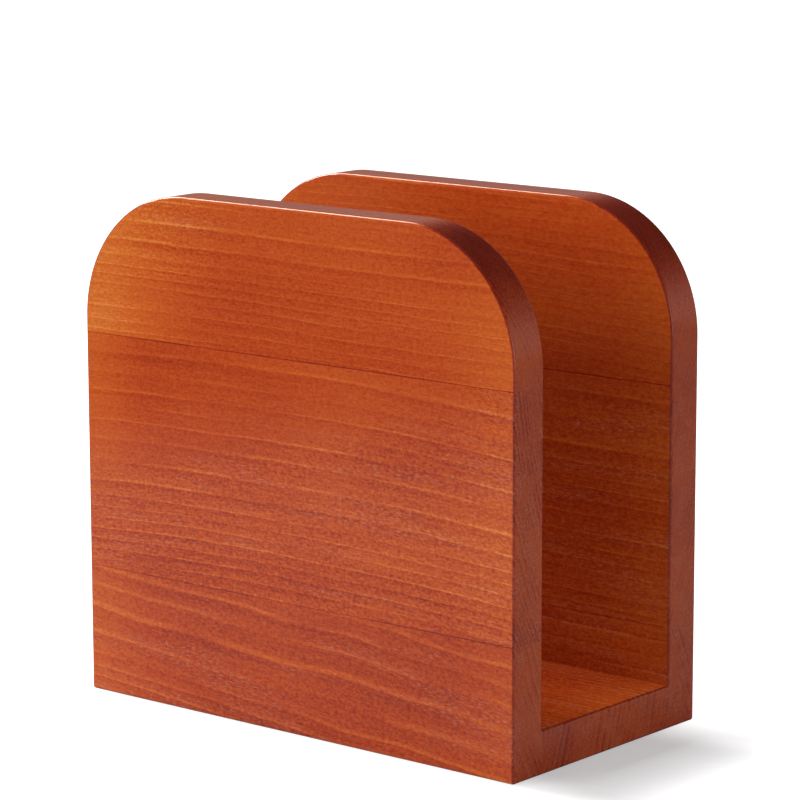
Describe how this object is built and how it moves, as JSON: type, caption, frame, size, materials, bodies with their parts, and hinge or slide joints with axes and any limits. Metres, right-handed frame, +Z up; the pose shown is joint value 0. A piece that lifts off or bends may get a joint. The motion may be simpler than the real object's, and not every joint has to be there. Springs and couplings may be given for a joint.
{
  "type": "napkin holder",
  "caption": "Upright wooden napkin holder: two panels with rounded top corners stand on a base board and hold a stack of folded napkins between them.",
  "frame": {"origin": "centre of the underside, on the surface that the holder stands on", "axes": "+X along the panels, +Y from the front panel to the back panel, +Z up"},
  "size_m": [0.15, 0.08, 0.142],
  "materials": {
    "front_panel_wood": "reddish-orange stained softwood, satin lacquer",
    "back_panel_wood": "reddish-orange stained softwood, satin lacquer",
    "base_wood": "reddish-orange stained softwood, satin lacquer",
    "dowel_beech": "raw beech"
  },
  "bodies": {
    "root": {"front_panel_bottom_stave": "front_panel_wood", "front_panel_middle_stave": "front_panel_wood", "front_panel_top_stave": "front_panel_wood", "back_panel_bottom_stave": "back_panel_wood", "back_panel_middle_stave": "back_panel_wood", "back_panel_top_stave": "back_panel_wood", "base_board": "base_wood", "front_dowel_1": "dowel_beech", "front_dowel_2": "dowel_beech", "front_dowel_3": "dowel_beech", "back_dowel_1": "dowel_beech", "back_dowel_2": "dowel_beech", "back_dowel_3": "dowel_beech"}
  },
  "joints": []
}
